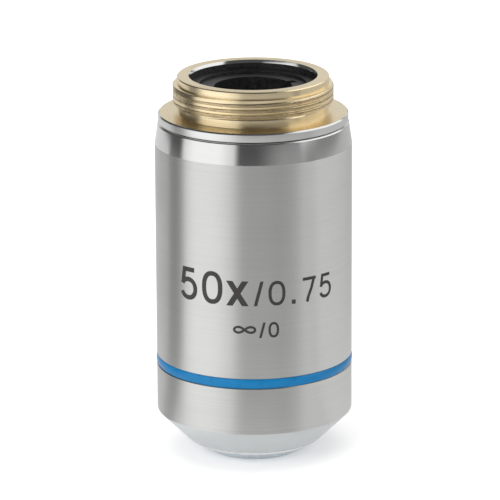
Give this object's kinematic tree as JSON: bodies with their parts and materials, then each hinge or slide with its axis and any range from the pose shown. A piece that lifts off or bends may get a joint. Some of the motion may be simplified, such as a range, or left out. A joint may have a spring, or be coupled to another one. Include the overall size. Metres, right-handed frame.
{
  "type": "microscope objective",
  "caption": "High-power microscope objective with a sprung nose, a blue magnification ring and a brass screw mount, for infinity optics.",
  "frame": {"origin": "centre of the flat tip of the nose, on the optical axis", "axes": "+Z along the optical axis, from the nose to the mounting thread; +Y is the side away from the lettering"},
  "size_m": [0.0252, 0.0252, 0.0492],
  "materials": {
    "bare_brass": "turned, bare",
    "inner_brass": "turned, dull",
    "satin_chrome": "satin chrome",
    "ring_blue": "gloss",
    "black_anodised": "dull black",
    "steel": "bright",
    "glass": "polished, coated"
  },
  "bodies": {
    "housing": {"thread_mount": "bare_brass", "parfocal_shim": "bare_brass", "rear_stop_ring": "black_anodised", "core_tube": "inner_brass", "nose_sleeve": "satin_chrome", "colour_ring": "ring_blue", "outer_sleeve": "satin_chrome", "guide_screw": "steel", "return_spring": "steel"},
    "lens_barrel": {"lens_barrel": "inner_brass", "front_cell": "satin_chrome", "spacer_tube": "black_anodised", "barrel_lock_ring": "black_anodised", "meniscus_cell": "black_anodised", "doublet_cell": "black_anodised", "triplet_cell": "black_anodised", "centring_cell": "black_anodised", "hollow_cell": "black_anodised", "rear_cell": "black_anodised", "centring_screws": "steel", "front_lens": "glass", "meniscus_lens": "glass", "doublet_flint": "glass", "doublet_crown": "glass", "triplet_front_crown": "glass", "triplet_flint": "glass", "triplet_rear_crown": "glass", "centring_crown": "glass", "centring_flint": "glass", "hollow_crown": "glass", "hollow_flint": "glass", "rear_lens": "glass"}
  },
  "joints": [
    {"name": "nose_retract", "type": "slide", "parent": "housing", "child": "lens_barrel", "axis": [0, 0, 1], "range_m": [0, 0.0017], "stiffness_N_per_m": 310, "springref_m": -0.006, "deforming": ["return_spring"]}
  ]
}
